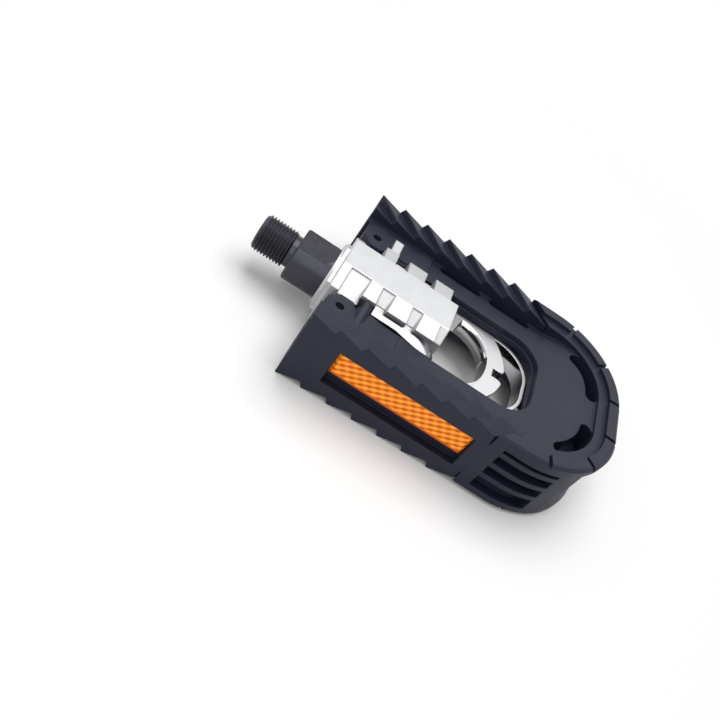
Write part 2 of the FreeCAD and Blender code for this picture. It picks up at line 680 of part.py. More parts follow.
def arc_slot(face):
    """Curved pocket beside the end tread."""
    half = ARC_SLOT_WIDTH / 2
    middle = CAGE_CORNER - BAND_WIDTH - half
    low = min(face * (FLAT_HALF - SLOT_DEPTH), face * BAND_BASE)
    height = BAND_BASE - FLAT_HALF + SLOT_DEPTH
    centre = point(CORNER_X, CORNER_Y, low)
    sweep = ARC_SLOT_TO - ARC_SLOT_FROM
    outer = Part.makeCylinder(middle + half, height, centre, Z, sweep)
    arc = outer.cut(Part.makeCylinder(middle - half, height, centre, Z))
    ends = []
    for angle in (0.0, math.radians(sweep)):
        spot = centre + point(middle * math.cos(angle), middle * math.sin(angle))
        ends.append(Part.makeCylinder(half, height, spot, Z))
    return turned(fuse([arc] + ends), ARC_SLOT_FROM, centre)


def louvres():
    """Curved slots in the side wall at the outboard corner on the +Y side, from the top down."""
    centre = point(CORNER_X, CORNER_Y, -FAR / 2)
    wedge = turned(Part.makeCylinder(FAR, FAR, centre, Z, LOUVRE_TO), 90 - LOUVRE_TO, centre)
    straight = box(CAGE_X0 + LOUVRE_START, CORNER_X, CORNER_Y, FAR, -FAR, FAR)
    reach = fuse([straight, wedge])
    cuts = []
    top = LOUVRE_TOP
    for height in (LOUVRE_FIRST, LOUVRE_GAP, LOUVRE_GAP, LOUVRE_LAST):
        ring = slab(cage_plan(-1), top - height, top).cut(slab(cage_plan(LOUVRE_DEPTH), -FAR, FAR))
        cuts.append(ring.common(reach))
        top -= height + LOUVRE_FIN
    return cuts


def waist():
    """Hollow that runs across the outboard wall between the two treads."""
    core = fuse([
        slab(cage_plan(WAIST_DEPTH), -WAIST_FLAT, WAIST_FLAT),
        taper(WAIST_DEPTH, WAIST_FLAT, 0, WAIST_HALF),
        taper(0, -WAIST_HALF, WAIST_DEPTH, -WAIST_FLAT),
    ])
    band = slab(cage_plan(-1), -WAIST_HALF, WAIST_HALF).cut(core)
    return band.common(box(CORNER_X, CAGE_X1 + FAR, -WAIST_REACH, WAIST_REACH, -FAR, FAR))


def leg_cheek():
    """Inner part of the +Y leg beside the hub, which narrows the opening."""
    far_y = OPENING_HALF + 1
    cheek = polygon([
        point(CAGE_X0 - 1, OPENING_NARROW, -FLAT_HALF),
        point(CAGE_X0 + OPENING_FLARE_START, OPENING_NARROW, -FLAT_HALF),
        point(CAGE_X0 + OPENING_NARROW_LENGTH, OPENING_HALF, -FLAT_HALF),
        point(CAGE_X0 + OPENING_NARROW_LENGTH, far_y, -FLAT_HALF),
        point(CAGE_X0 - 1, far_y, -FLAT_HALF),
    ])
    return cheek.extrude(point(0, 0, 2 * FLAT_HALF))


def opening_ledge():
    """Step round the upper edge of the opening, outboard of the legs."""
    half = OPENING_HALF + LEDGE_WIDTH
    corner = OPENING_CORNER + LEDGE_WIDTH
    outline = plan(CAGE_X0 + LEDGE_START, OPENING_X1 + LEDGE_WIDTH, half, corner)
    return slab(outline, FLAT_HALF - LEDGE_DEPTH, BAND_BASE)


def opening_cuts():
    """Central opening with its stepped edge, and the groove that takes the latch tongues."""
    through = slab(plan(CAGE_X0 - 1, OPENING_X1, OPENING_HALF, OPENING_CORNER), -FAR, FAR)
    through = through.cut(both(leg_cheek(), Y))
    half = TONGUE_HALF_THICKNESS + GROOVE_CLEARANCE
    depth = TONGUE_ENGAGEMENT + GROOVE_CLEARANCE
    reach = TONGUE_OUTER + GROOVE_CLEARANCE
    groove = box(OPENING_X1 - OPENING_CORNER, OPENING_X1 + depth, -reach, reach, -half, half)
    return [through, groove] + both(opening_ledge(), Z)


def leg_pad():
    """Raised pad on the inboard part of the +Y leg."""
    pad_outer = CAGE_HALF - BAND_WIDTH
    pad = box(CAGE_X0, CAGE_X0 + LEG_PAD_LENGTH, OPENING_NARROW, pad_outer, -LEG_HALF, LEG_HALF)
    opening = slab(plan(CAGE_X0 - 1, OPENING_X1, OPENING_HALF, OPENING_CORNER), -FAR, FAR)
    return pad.cut(opening.cut(leg_cheek()))


def leg_hump():
    """Round hump on the -Y leg that runs out on its upper face."""
    inner = OPENING_NARROW - BUMP_REACH
    lead = point(0, -HUMP_RUN, LEG_HALF - HUMP_TOP)
    start = point(CAGE_X0 + BUMP_X, -inner, HUMP_TOP - BUMP_RADIUS)
    hump = rod(BUMP_RADIUS, start - lead, lead, 2 * lead.Length)
    return hump.cut(box(CAGE_X0, FAR, -inner, FAR, -FAR, FAR))


def leg_additions():
    """Boss, bump and raised pad on the inner part of each leg, and the hump on one."""
    boss = rod(BOSS_RADIUS, point(HINGE_CENTRE, SCREW_Y, -LEG_HALF), Z, 2 * LEG_HALF)
    boss = boss.cut(box(CAGE_X0 - FAR, FAR, -FAR, BOSS_FACE, -FAR, FAR))
    bump_y = OPENING_NARROW - BUMP_REACH + BUMP_RADIUS
    bump = rod(BUMP_RADIUS, point(CAGE_X0 + BUMP_X, bump_y, -LEG_HALF), Z, 2 * LEG_HALF)
    return both(boss, Y) + both(leg_pad(), Y) + both(bump, Y) + [leg_hump()]


def leg_corner():
    """Cut across the corner of the +Y leg end beside the hub, above the hinge bore."""
    reach = LEG_CHAMFER + 1
    corner = polygon([
        point(CAGE_X0 - 1, BOSS_FACE - 1, LEG_CHAMFER_FLOOR),
        point(CAGE_X0 + reach, BOSS_FACE - 1, LEG_CHAMFER_FLOOR),
        point(CAGE_X0 - 1, BOSS_FACE + reach, LEG_CHAMFER_FLOOR),
    ])
    return corner.extrude(point(0, 0, LEG_HALF))


def leg_cuts():
    """Hinge bore, screw hole, end core, end step, corners and notch in the leg on the +Y side."""
    pin_length = hinge_pin_start() + HINGE_PIN_LENGTH + FIT_CLEARANCE - BOSS_FACE
    bore = rod(HINGE_PIN_RADIUS + FIT_CLEARANCE, point(HINGE_CENTRE, BOSS_FACE), Y, pin_length)
    hole = rod(SCREW_RADIUS + FIT_CLEARANCE, point(HINGE_CENTRE, SCREW_Y, -FAR / 2), Z, FAR)
    core_outer = CAGE_HALF - CORE_WALL
    core_inner = core_outer - CORE_WIDTH
    core = box(CAGE_X0, CAGE_X0 + CORE_DEPTH, core_inner, core_outer, -CORE_HEIGHT / 2, CORE_HEIGHT / 2)
    step = box(CAGE_X0, CAGE_X0 + LEG_STEP, 0, core_inner - LEG_STEP, -FAR, FAR)
    notch_x = HINGE_CENTRE + BOSS_RADIUS - NOTCH_WIDTH
    notch = box(notch_x, notch_x + NOTCH_WIDTH, 0, BOSS_FACE + NOTCH_WIDTH, -FAR, FAR)
    face = box(CAGE_X0, HINGE_CENTRE + BOSS_RADIUS, 0, BOSS_FACE, -FAR, FAR)
    return [bore, hole, core, step, notch, face] + both(leg_corner(), Z)


def reflector_recess():
    x0 = REFLECTOR_X0 - RECESS_MARGIN
    x1 = REFLECTOR_X0 + REFLECTOR_LENGTH + RECESS_MARGIN
    z1 = REFLECTOR_TOP + FIT_CLEARANCE
    z0 = REFLECTOR_TOP - REFLECTOR_HEIGHT - RECESS_BELOW
    return box(x0, x1, REFLECTOR_BACK, CAGE_HALF + 1, z0, z1)


def web_ramp():
    """Thicker web toward the outboard end."""
    upper = [(RAMP_START, FLAT_HALF), (RAMP_END, RAMP_TOP), (CAGE_LENGTH, RAMP_TOP)]
    ring = upper + [(x, -z) for x, z in reversed(upper)]
    section = polygon([point(CAGE_X0 + x, -CAGE_HALF, z) for x, z in ring])
    wedge = section.extrude(point(0, CAGE_WIDTH, 0))
    return wedge.common(slab(cage_plan(BLOCK_WIDTH), -BAND_BASE, BAND_BASE))


def make_cage_frame():
    web = slab(cage_plan(0), -FLAT_HALF, FLAT_HALF)
    band = slab(cage_plan(0), -BAND_BASE, BAND_BASE)
    band = band.cut([slab(cage_plan(BAND_WIDTH), -FAR, FAR)] + tooth_zone())
    solids = [web, web_ramp(), band] + both(tread_blocks(), Z)
    solids += [tooth_band(side, face) for side in SIDES for face in SIDES]
    cage = fuse(solids)
    cage = cage.cut(opening_cuts())
    cage = fuse([cage] + leg_additions())
    cuts = [waist()]
    for piece in leg_cuts() + louvres() + [reflector_recess()]:
        cuts += both(piece, Y)
    for face in SIDES:
        for step in range(SLOT_COUNT):
            cuts += both(long_slot(CAGE_X0 + SLOT_START + step * SLOT_PITCH, face), Y)
        cuts += both(arc_slot(face), Y)
    return cage.cut(cuts).removeSplitter()


def make_reflector():
    """Bevelled reflector plate in the wall on the +Y side."""
    x1 = REFLECTOR_X0 + REFLECTOR_LENGTH
    z1 = REFLECTOR_TOP
    z0 = REFLECTOR_TOP - REFLECTOR_HEIGHT
    plate = box(REFLECTOR_X0, x1, REFLECTOR_BACK, REFLECTOR_FACE, z0, z1)
    front = [edge for edge in plate.Edges if abs(edge.CenterOfMass.y - REFLECTOR_FACE) < FIT_CLEARANCE]
    return plate.makeChamfer(REFLECTOR_BEVEL, front)


# Latch yoke

def window_cut():
    """D-shaped window between the hub's end and the finger plate, and the room between the arms."""
    inner = YOKE_HALF - SIDE_BAR
    shoulder = inner - ARM_INNER
    start = HUB_X1 + shoulder
    window = slab(plan(start, WINDOW_X1, inner, WINDOW_CORNER), -FAR / 2, FAR / 2)
    window_end = point(WINDOW_X1 - WINDOW_END_RADIUS, 0, -FAR / 2)
    window = window.common(rod(WINDOW_END_RADIUS, window_end, Z, FAR))
    hub_room = box(CAGE_X0 - 1, start, -ARM_INNER, ARM_INNER, -FAR / 2, FAR / 2)
    corners = [rod(shoulder, point(start, side * ARM_INNER, -FAR / 2), Z, FAR) for side in SIDES]
    return fuse([window, hub_room] + corners)


def crescent_cut():
    """Crescent opening between the finger plate and the rim."""
    start = WINDOW_X1 - YOKE_CORNER / 2
    outline = plan(start, RIM_X1 - RIM_WIDTH, YOKE_HALF - RIM_WIDTH, YOKE_CORNER - RIM_WIDTH)
    rim = slab(outline, -FAR / 2, FAR / 2)
    plate = rod(BRIDGE_EDGE_RADIUS, point(BRIDGE_X1 - BRIDGE_EDGE_RADIUS, 0, -FAR / 2), Z, FAR)
    return rim.cut(plate)


def finger_notch():
    """Notch with rounded shoulders in the edge of the finger plate."""
    mouth = BRIDGE_X1
    floor = mouth - NOTCH_DEPTH
    throat = mouth - NOTCH_SHOULDER
    bend = NOTCH_SHOULDER * (1 - math.sqrt(0.5))
    turn_y = NOTCH_THROAT_HALF + bend * (NOTCH_MOUTH_HALF - NOTCH_THROAT_HALF) / NOTCH_SHOULDER
    out = mouth + NOTCH_SHOULDER
    wide, narrow = NOTCH_MOUTH_HALF, NOTCH_THROAT_HALF
    low = Part.Arc(point(mouth, -wide), point(mouth - bend, -turn_y), point(throat, -narrow))
    high = Part.Arc(point(throat, narrow), point(mouth - bend, turn_y), point(mouth, wide))
    wire = Part.Wire([
        Part.LineSegment(point(out, -wide), point(mouth, -wide)).toShape(),
        low.toShape(),
        Part.LineSegment(point(throat, -narrow), point(floor, -narrow)).toShape(),
        Part.LineSegment(point(floor, -narrow), point(floor, narrow)).toShape(),
        Part.LineSegment(point(floor, narrow), point(throat, narrow)).toShape(),
        high.toShape(),
        Part.LineSegment(point(mouth, wide), point(out, wide)).toShape(),
        Part.LineSegment(point(out, wide), point(out, -wide)).toShape(),
    ])
    return slab(wire, -FAR / 2, FAR / 2)


def arm_side():
    """Side view of an arm: tall beside the hub, bent down to the plate at its outboard end."""
    half = YOKE_HALF_THICKNESS
    tall = ARM_HALF_HEIGHT
    bend_x = CAGE_X0 + ARM_BEND_START
    end_x = CAGE_X0 + ARM_BEND_END
    drop = tall - half
    length = end_x - bend_x
    radius = (length * length + drop * drop) / (2 * drop)
    middle = length / 2
    fall = radius - math.sqrt(radius * radius - middle * middle)
    middle_x = bend_x + middle
    upper = Part.Arc(point(bend_x, 0, tall), point(middle_x, 0, tall - fall), point(end_x, 0, half))
    lower = Part.Arc(point(end_x, 0, -half), point(middle_x, 0, fall - tall), point(bend_x, 0, -tall))
    edges = [
        upper.toShape(),
        Part.LineSegment(point(end_x, 0, half), point(end_x, 0, -half)).toShape(),
        lower.toShape(),
        Part.LineSegment(point(bend_x, 0, -tall), point(ARM_X0, 0, -tall)).toShape(),
        Part.LineSegment(point(ARM_X0, 0, -tall), point(ARM_X0, 0, tall)).toShape(),
        Part.LineSegment(point(ARM_X0, 0, tall), point(bend_x, 0, tall)).toShape(),
    ]
    return Part.Face(Part.Wire(edges)).extrude(point(0, FAR, 0))


def arm_section():
    """Cross-section of an arm, with its outer edges bevelled."""
    outer = ARM_OUTER + ARM_FLARE
    bevel_y = ARM_OUTER - ARM_BEVEL
    upper = [(0, ARM_HALF_HEIGHT), (bevel_y, ARM_HALF_HEIGHT), (outer, ARM_HALF_HEIGHT - outer + bevel_y)]
    ring = upper + [(y, -z) for y, z in reversed(upper)]
    return polygon([point(ARM_X0, y, z) for y, z in ring]).extrude(point(FAR, 0, 0))


def yoke_arm():
    """Arm along the hub on the +Y side, with its retaining hook."""
    half = YOKE_HALF_THICKNESS
    outer = ARM_OUTER + ARM_FLARE
    end_x = CAGE_X0 + ARM_BEND_END
    outline = polygon([
        point(ARM_X0, ARM_INNER, -FAR / 2),
        point(end_x, ARM_INNER, -FAR / 2),
        point(end_x, outer, -FAR / 2),
        point(CAGE_X0 + ARM_FLARE_END, outer, -FAR / 2),
        point(CAGE_X0 + ARM_FLARE_START, ARM_OUTER, -FAR / 2),
        point(ARM_X0, ARM_OUTER, -FAR / 2),
    ]).extrude(point(0, 0, FAR))
    hook = box(ARM_X0, ARM_X0 + HOOK_LENGTH, ARM_INNER - HOOK_REACH, ARM_INNER, -half, half)
    return fuse([outline.common(arm_side()).common(arm_section()), hook])


def make_latch_yoke():
    half = YOKE_HALF_THICKNESS
    plate = slab(plan(YOKE_X0, RIM_X1, YOKE_HALF, YOKE_CORNER), -half, half)
    thin = TONGUE_HALF_THICKNESS
    tip = OPENING_X1 + TONGUE_ENGAGEMENT
    tongue = box(RIM_CENTRE, tip, TONGUE_INNER, TONGUE_OUTER, -thin, thin)
    reach = slab(plan(RIM_CENTRE, tip, OPENING_HALF, OPENING_CORNER), -half, half)
    body = fuse([plate] + both(tongue.common(reach), Y))
    body = body.cut([window_cut(), crescent_cut(), finger_notch()])
    yoke = fuse([body] + both(yoke_arm(), Y))
    hole = rod(SPRING_HOLE_RADIUS, point(ARM_X0, SPRING_Y), X, SPRING_HOLE_DEPTH)
    return yoke.cut(both(hole, Y)).removeSplitter()


def coil_section(turn):
    """Square section of the spring's wire after some turns, about the X axis."""
    angle = 2 * math.pi * turn
    wire = SPRING_WIRE / 2
    pitch = (SPRING_X1 - SPRING_X0 - SPRING_WIRE) / SPRING_TURNS
    x = SPRING_X0 + wire + pitch * turn
    ring = []
    for dx, dr in [(-wire, -wire), (wire, -wire), (wire, wire), (-wire, wire)]:
        radius = SPRING_RADIUS + dr
        ring.append(point(x + dx, SPRING_Y + radius * math.cos(angle), radius * math.sin(angle)))
    return Part.makePolygon(ring + [ring[0]])


def make_latch_spring():
    """Compression spring between the hub's knuckle and the arm on the +Y side."""
    steps = SPRING_TURNS * SPRING_STEPS
    sections = [coil_section(step / SPRING_STEPS) for step in range(steps + 1)]
    return Part.makeLoft(sections, True, True)


def export(shape, node):
    os.makedirs("parts", exist_ok=True)
    shape.exportStep("parts/" + node + ".step")


def export_pair(shape, node):
    """The +Y piece and its mirror image."""
    export(shape, node + "_left")
    export(mirrored(shape, Y), node + "_right")


export(make_spindle(), "spindle")
export(make_lip_seal(), "lip_seal")
export(make_inner_bush(), "inner_bush")
export(make_inner_race(), "bearing_inner_race")
export(make_outer_race(), "bearing_outer_race")
export(make_bearing_balls(), "bearing_balls")
export(make_lock_washer(), "lock_washer")
export(make_lock_nut(), "lock_nut")
export(make_dust_cap(), "dust_cap")
export(make_hub_body(), "hub_body")
export_pair(make_hinge_bush(), "hinge_bush")
export_pair(make_hinge_pin(), "hinge_pin")
export_pair(make_hinge_screw(), "hinge_screw")
export(make_cage_frame(), "cage_frame")
export_pair(make_reflector(), "reflector")
export(make_latch_yoke(), "latch_yoke")
export_pair(make_latch_spring(), "latch_spring")
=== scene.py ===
import json
import math

import bmesh
import bpy
from mathutils import Matrix, Vector


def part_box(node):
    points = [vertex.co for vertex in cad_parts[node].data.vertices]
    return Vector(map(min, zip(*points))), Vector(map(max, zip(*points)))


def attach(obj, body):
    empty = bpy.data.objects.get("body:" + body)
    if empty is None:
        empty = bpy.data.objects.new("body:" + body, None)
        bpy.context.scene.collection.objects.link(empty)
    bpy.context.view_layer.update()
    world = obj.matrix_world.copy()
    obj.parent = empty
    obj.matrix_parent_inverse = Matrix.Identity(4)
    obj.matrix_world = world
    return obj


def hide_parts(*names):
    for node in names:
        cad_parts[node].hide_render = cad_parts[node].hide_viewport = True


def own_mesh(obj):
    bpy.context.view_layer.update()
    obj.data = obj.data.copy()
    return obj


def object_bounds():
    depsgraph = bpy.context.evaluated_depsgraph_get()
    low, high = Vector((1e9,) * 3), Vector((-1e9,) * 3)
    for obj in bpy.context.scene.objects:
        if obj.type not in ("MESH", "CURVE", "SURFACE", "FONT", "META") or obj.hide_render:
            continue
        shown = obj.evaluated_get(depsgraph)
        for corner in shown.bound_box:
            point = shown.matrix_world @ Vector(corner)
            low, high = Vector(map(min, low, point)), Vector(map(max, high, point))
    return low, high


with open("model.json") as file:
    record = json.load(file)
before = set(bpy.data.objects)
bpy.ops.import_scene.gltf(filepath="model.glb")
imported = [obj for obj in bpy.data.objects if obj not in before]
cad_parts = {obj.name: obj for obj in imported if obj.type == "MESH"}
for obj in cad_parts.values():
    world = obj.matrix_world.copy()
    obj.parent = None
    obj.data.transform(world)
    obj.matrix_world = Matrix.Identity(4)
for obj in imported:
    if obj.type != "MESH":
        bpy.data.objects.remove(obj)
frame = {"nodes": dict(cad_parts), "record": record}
CAD_LOW, CAD_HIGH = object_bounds()
NODES = frame["nodes"]
MM = 0.001

# Shading that all materials share
PATCH_DETAIL = 4.0
PATCH_NOISE = (0.3, 0.7)         # part of the noise that is spread over the whole range
GRAIN_DETAIL = 3.0
EDGE_SAMPLES = 6

# Plain materials. patches: scale, least and greatest roughness of slow uneven patches;
# grains: scale, strength and depth of the fine grain; edge: radius of the shaded edges
PLAIN_LOOKS = {
    "cage_plastic": dict(
        color=(0.0105, 0.0125, 0.0270), metallic=0.0, roughness=0.5,
        patches=(120.0, 0.42, 0.56), grains=(4200.0, 0.18, 0.12 * MM), edge=0.6 * MM),
    "hub_alloy": dict(
        color=(0.54, 0.545, 0.555), metallic=0.8, roughness=0.44,
        patches=(260.0, 0.40, 0.50), grains=(3000.0, 0.12, 0.1 * MM), edge=0.8 * MM),
    "black_steel": dict(
        color=(0.050, 0.051, 0.062), metallic=0.9, roughness=0.36,
        patches=(300.0, 0.24, 0.40), grains=(3000.0, 0.08, 0.1 * MM), edge=0.3 * MM),
    "bright_steel": dict(
        color=(0.72, 0.72, 0.72), metallic=1.0, roughness=0.22,
        patches=(500.0, 0.16, 0.30), grains=(3500.0, 0.05, 0.1 * MM), edge=0.2 * MM),
    "bronze": dict(
        color=(0.55, 0.38, 0.20), metallic=1.0, roughness=0.34,
        patches=(400.0, 0.28, 0.42), grains=(3000.0, 0.08, 0.1 * MM), edge=0.2 * MM),
    "seal_rubber": dict(
        color=(0.02, 0.02, 0.02), metallic=0.0, roughness=0.7,
        patches=(300.0, 0.62, 0.78), grains=(3500.0, 0.15, 0.1 * MM), edge=0.2 * MM),
    "cap_plastic": dict(
        color=(0.03, 0.03, 0.03), metallic=0.0, roughness=0.45,
        patches=(300.0, 0.38, 0.50), grains=(3500.0, 0.12, 0.1 * MM), edge=0.3 * MM),
}
CAGE_SPECULAR = 0.3

# Yoke, with polished walls and satin flat faces
YOKE_COLOR = (0.57, 0.57, 0.58)
YOKE_ROUGHNESS = 0.3
YOKE_NORMAL_Z = (0.5, 0.95)      # size of the normal's z on a wall and on a flat face
YOKE_FINISH = (0.08, 0.44)       # roughness of a wall and of a flat face
YOKE_GRAINS = (2600.0, 0.06, 0.1 * MM)
YOKE_EDGE = 0.3 * MM

# Reflectors
REFLECTOR_BORDER_Z = -1.9 * MM   # top of the plain strip along the lower edge
MAIN_RIBS = (118.0, 143.0)       # angle in degrees and scale
CROSS_RIBS = (30.0, 105.0)
CROSS_RIBS_SHARE = 0.3
RIB_WOBBLE = 0.5
RIB_STRENGTH = 0.3
RIB_DEPTH = 0.3 * MM
AMBER_COLOR = (0.9, 0.3, 0.01)
AMBER_ROUGHNESS = 0.2
# Ramp from rib height to colour: painted shade in the rib hollows and on the plain lower strip,
# amber between, painted highlight on the rib crests
AMBER_PAINTED_SHADE = (0.1, (0.52, 0.090, 0.006, 1.0))   # place on the ramp and colour
AMBER_MIDDLE = (0.5, (0.84, 0.215, 0.010, 1.0))
AMBER_PAINTED_HIGHLIGHT = (0.85, (1.0, 0.37, 0.040, 1.0))
# Shader settings; the emission is a painted glow that stands for the light a reflector throws
# back
AMBER_SHADER_AND_PAINTED_GLOW = {
    "Emission Strength": 0.2,
    "Specular IOR Level": 0.12,
    "Coat Weight": 0.05,
    "Coat Roughness": 0.06,
}

# Crank thread
THREAD_PITCH = 1.27 * MM
THREAD_DEPTH = 0.78 * MM
THREAD_CREST = 7.144 * MM
THREAD_CHAMFER = 1.2 * MM
THREAD_START = -14.5 * MM
THREAD_END = -2.0 * MM
THREAD_FLAT = 0.12               # share of half a pitch that is flat at the crest
THREAD_FLANK = 0.76              # share of half a pitch that slopes
THREAD_STEPS = 56                # points round the thread
THREAD_ROWS = 8                  # rows of points in one turn
PLAIN_RADIUS_SLACK = 0.05 * MM   # for finding the plain cylinder's faces
PLAIN_END_SLACK = 0.01 * MM
PLAIN_LEAST_LENGTH = 0.1 * MM

# Hinge screws with domed heads and cross recesses
SCREW_SHANK = 1.6 * MM           # radius
SCREW_HEAD = 4.0 * MM            # radius
SCREW_HEAD_HEIGHT = 2.4 * MM
SCREW_RIM = 0.6 * MM             # height of the head's straight rim
SCREW_STEPS = 48                 # points round the screw
DOME_STEPS = 8                   # rows of points up the dome
RECESS_DEPTH = 1.5 * MM
RECESS_MOUTH = (2.3 * MM, 0.65 * MM)            # half-length and half-width of a slot
RECESS_FLOOR = (1.1 * MM, 0.45 * MM)
RECESS_OVERLAP = 0.2 * MM        # how far the cutting wedge stands out of the head
RECESS_TURNS = {"hinge_screw_left": 20.0, "hinge_screw_right": 65.0}   # degrees
MERGE_DISTANCE = 0.001 * MM
SHARP_ANGLE = 0.6                # radians

# Rounded corners of the yoke's window, between its sides and its curved end
WINDOW_SIDE = 16.9 * MM          # half-width of the window
WINDOW_ARC = 27.0 * MM           # radius of its curved end
WINDOW_ARC_X = 53.0 * MM         # centre of that end
FILLET_RADIUS = 14.0 * MM
FILLET_HALF_HEIGHT = 3.69 * MM
FILLET_ROOT = 0.3 * MM           # depth of the fillet behind the window's wall
FILLET_STANDOUT = 0.05 * MM      # its ends in front of that wall
FILLET_STEPS = 20

# Floor, which turns into plain white background between two distances from its middle
FLOOR_SIZE = 6.0
FLOOR_X = 0.07
FLOOR_GAP = 0.05 * MM            # below the lowest solid
FLOOR_NEAR = 0.13
FLOOR_FAR = 0.34
FLOOR_COLOR = (0.86, 0.86, 0.86)
FLOOR_ROUGHNESS = 0.6
FLOOR_PATCHES = (3.0, 0.55, 0.65)

# Light
FILL_STRENGTH = 0.55             # of the world, where it lights and isn't seen
WHITE = (1.0, 1.0, 1.0, 1.0)
LAMP_SIZE = 0.7
LAMP_TARGET = (0.07, 0.0, 0.0)
OVERHEAD_PLACE = (0.05, 0.15, 0.75)
OVERHEAD_POWER = 4.8
SIDE_PLACE = (-0.15, -0.6, 0.55)
SIDE_POWER = 1.8

# Camera, as fitted to the photograph
IMAGE_SIZE = 720
FOCAL_PIXELS = 867.57
CENTRE_SHIFT_PIXELS = 4
CAMERA_RIGHT = Vector((0.83658755, 0.29102493, 0.46413981))
CAMERA_DOWN = Vector((0.53656774, -0.60621233, -0.58702783))
CAMERA_AHEAD = Vector((0.11052754, 0.74014262, -0.66330428))
CAMERA_AT = Vector((6.54, -244.77, 191.6)) * MM
CAMERA_CLIP = 0.01
SENSOR = 36.0


# Shader helpers

def add(tree, kind, values):
    node = tree.nodes.new(kind)
    for name, value in values.items():
        node.inputs[name].default_value = value
    return node


def calculate(tree, operation, first, second=None):
    """Outcome of one sum. The second number is a socket, a constant or left out."""
    step = tree.nodes.new("ShaderNodeMath")
    step.operation = operation
    tree.links.new(first, step.inputs[0])
    if isinstance(second, float):
        step.inputs[1].default_value = second
    elif second is not None:
        tree.links.new(second, step.inputs[1])
    return step.outputs["Value"]


def rescale(tree, value, source, target):
    """Node that carries a number from one range to another."""
    span = tree.nodes.new("ShaderNodeMapRange")
    span.inputs["From Min"].default_value, span.inputs["From Max"].default_value = source
    span.inputs["To Min"].default_value, span.inputs["To Max"].default_value = target
    tree.links.new(value, span.inputs["Value"])
    return span


def blend(tree, low, high, share):
    """Number between two others."""
    mix = add(tree, "ShaderNodeMix", {"Factor": share})
    tree.links.new(low, mix.inputs["A"])
    tree.links.new(high, mix.inputs["B"])
    return mix.outputs["Result"]


def coordinate(tree, kind):
    return tree.nodes.new("ShaderNodeTexCoord").outputs[kind]


def upright_part(tree, vector):
    split = tree.nodes.new("ShaderNodeSeparateXYZ")
    tree.links.new(vector, split.inputs["Vector"])
    return split.outputs["Z"]


def noise(tree, scale, detail):
    field = add(tree, "ShaderNodeTexNoise", {"Scale": scale, "Detail": detail})
    tree.links.new(coordinate(tree, "Object"), field.inputs["Vector"])
    return field.outputs["Fac"]


def shader_of(material):
    return material.node_tree.nodes["Principled BSDF"]


def new_material(name, color, metallic, roughness):
    material = bpy.data.materials.new(name)
    material.use_nodes = True
    shader = shader_of(material)
    shader.inputs["Base Color"].default_value = (*color, 1.0)
    shader.inputs["Metallic"].default_value = metallic
    shader.inputs["Roughness"].default_value = roughness
    return material


def soft_edges(tree, radius):
    """Normal that rounds sharp edges in the shading."""
    edge = add(tree, "ShaderNodeBevel", {"Radius": radius})
    edge.samples = EDGE_SAMPLES
    return edge.outputs["Normal"]


def add_grain(material, scale, strength, depth, edge):
    """Fine surface grain on top of softened edges."""
    tree = material.node_tree
    bump = add(tree, "ShaderNodeBump", {"Strength": strength, "Distance": depth})
    tree.links.new(noise(tree, scale, GRAIN_DETAIL), bump.inputs["Height"])
    tree.links.new(soft_edges(tree, edge), bump.inputs["Normal"])
    tree.links.new(bump.outputs["Normal"], shader_of(material).inputs["Normal"])


def add_patches(material, scale, low, high):
    """Slow uneven change of the roughness over the surface."""
    tree = material.node_tree
    span = rescale(tree, noise(tree, scale, PATCH_DETAIL), PATCH_NOISE, (low, high))
    tree.links.new(span.outputs["Result"], shader_of(material).inputs["Roughness"])


# Materials

def plain_material(slot):
    look = PLAIN_LOOKS[slot]
    material = new_material(slot, look["color"], look["metallic"], look["roughness"])
    add_patches(material, *look["patches"])
    add_grain(material, *look["grains"], look["edge"])
    return material


def yoke_alloy():
    """Satin flat faces and polished walls."""
    material = new_material("yoke_alloy", YOKE_COLOR, 1.0, YOKE_ROUGHNESS)
    tree = material.node_tree
    upright = calculate(tree, "ABSOLUTE", upright_part(tree, coordinate(tree, "Normal")))
    span = rescale(tree, upright, YOKE_NORMAL_Z, YOKE_FINISH)
    tree.links.new(span.outputs["Result"], shader_of(material).inputs["Roughness"])
    add_grain(material, *YOKE_GRAINS, YOKE_EDGE)
    return material


def rib_wave(tree, angle, scale):
    """Straight ribs across the face of a reflector, turned by an angle in degrees."""
    turn = add(tree, "ShaderNodeMapping", {"Rotation": (0.0, math.radians(angle), 0.0)})
    tree.links.new(coordinate(tree, "Object"), turn.inputs["Vector"])
    ribs = add(tree, "ShaderNodeTexWave", {"Scale": scale, "Distortion": RIB_WOBBLE})
    ribs.wave_type = "BANDS"
    ribs.bands_direction = "X"
    tree.links.new(turn.outputs["Vector"], ribs.inputs["Vector"])
    return ribs.outputs["Fac"]


def lens_ribs(tree):
    """Height of the crossed ribs, which is zero on the plain strip below them."""
    ribs = blend(tree, rib_wave(tree, *MAIN_RIBS), rib_wave(tree, *CROSS_RIBS), CROSS_RIBS_SHARE)
    height = upright_part(tree, coordinate(tree, "Object"))
    over = calculate(tree, "GREATER_THAN", height, REFLECTOR_BORDER_Z)
    return calculate(tree, "MULTIPLY", over, ribs)


# Colour ramp of painted light: painted shade, amber, painted highlight
def amber_painted_light_ramp(tree):
    ramp = tree.nodes.new("ShaderNodeValToRGB")
    low, high = ramp.color_ramp.elements
    low.position, low.color = AMBER_PAINTED_SHADE
    high.position, high.color = AMBER_PAINTED_HIGHLIGHT
    middle, color = AMBER_MIDDLE
    ramp.color_ramp.elements.new(middle).color = color
    return ramp


